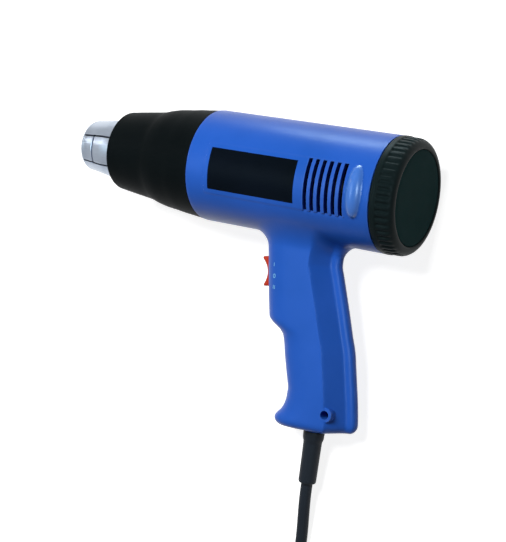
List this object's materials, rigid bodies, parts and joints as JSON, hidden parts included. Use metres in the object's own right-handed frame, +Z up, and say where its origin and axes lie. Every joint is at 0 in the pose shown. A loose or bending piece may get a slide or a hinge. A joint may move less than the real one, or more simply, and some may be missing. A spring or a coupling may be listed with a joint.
{
  "type": "hot air tool",
  "caption": "Pistol-grip electric hot air tool lying on its side, with a steel nozzle, ribbed rear cap, rocker switch on the handle and a coiled supply cord with plug.",
  "frame": {"origin": "on the surface that the tool lies on, below the middle of the tool's own box; the free cord and plug are left out of that box", "axes": "+X back along the barrel from the nozzle to the rear cap, +Y from the handle's foot to the barrel, +Z up from the surface; the tool's left side faces up"},
  "size_m": [0.2586, 0.4121, 0.0756],
  "materials": {
    "housing_plastic": "blue, fine satin texture",
    "black_plastic": "black, satin",
    "disc_plastic": "dark grey-green, smooth",
    "label_film": "black film, bare",
    "nozzle_steel": "bright, drawn",
    "mica": "matte mineral sheet",
    "heater_wire": "oxidised wire",
    "resin": "natural moulding resin",
    "screw_steel": "zinc plated",
    "fan_plastic": "black moulding",
    "motor_steel": "plain steel",
    "ferrite": "matte ferrite",
    "copper": "copper bars",
    "brass": "plain",
    "circuit_board": "green board",
    "rocker_plastic": "red, glossy",
    "cord_rubber": "black, soft sheen",
    "wire_rubber": "red insulation",
    "plug_rubber": "black, matte",
    "pin_metal": "nickel plated"
  },
  "bodies": {
    "tool": {"left_shell": "housing_plastic", "right_shell": "housing_plastic", "front_sleeve": "black_plastic", "rear_cap": "black_plastic", "rear_disc": "disc_plastic", "label_plate": "label_film", "nozzle": "nozzle_steel", "mica_tube": "mica", "heater_core": "mica", "heater_coil": "heater_wire", "thermal_cutout": "resin", "air_guide": "resin", "nozzle_screw_1": "screw_steel", "nozzle_screw_2": "screw_steel", "nozzle_screw_3": "screw_steel", "motor_mount": "resin", "motor_can": "motor_steel", "magnet_left": "ferrite", "magnet_right": "ferrite", "brush_left": "brass", "brush_right": "brass", "motor_end_cap": "black_plastic", "front_bearing": "brass", "rear_bearing": "brass", "rectifier_board": "circuit_board", "diode_1": "black_plastic", "diode_2": "black_plastic", "diode_3": "black_plastic", "diode_4": "black_plastic", "switch_body": "black_plastic", "switch_terminal_1": "brass", "switch_terminal_2": "brass", "switch_terminal_3": "brass", "strain_relief": "cord_rubber", "cord_inner": "cord_rubber", "cord_clamp": "black_plastic", "clamp_screw_1": "screw_steel", "clamp_screw_2": "screw_steel", "handle_screw": "screw_steel", "wire_live": "wire_rubber", "wire_neutral": "wire_rubber", "cord_lead": "cord_rubber", "cord_coil": "cord_rubber", "cord_tail": "cord_rubber", "plug_body": "plug_rubber", "plug_pin_1": "pin_metal", "plug_pin_2": "pin_metal"},
    "rotor": {"motor_shaft": "motor_steel", "fan_impeller": "fan_plastic", "armature": "motor_steel", "commutator": "copper"},
    "rocker": {"switch_rocker": "rocker_plastic"}
  },
  "joints": [
    {"name": "motor_spin", "type": "hinge", "parent": "tool", "child": "rotor", "pos_m": [0, 0.07626, 0.03636], "axis": [1, 0, 0], "continuous": true},
    {"name": "rocker_switch", "type": "hinge", "parent": "tool", "child": "rocker", "pos_m": [0.0387, 0.0176, 0.02868], "axis": [0, 0.1299, -0.9915], "range_deg": [-9, 9]}
  ]
}
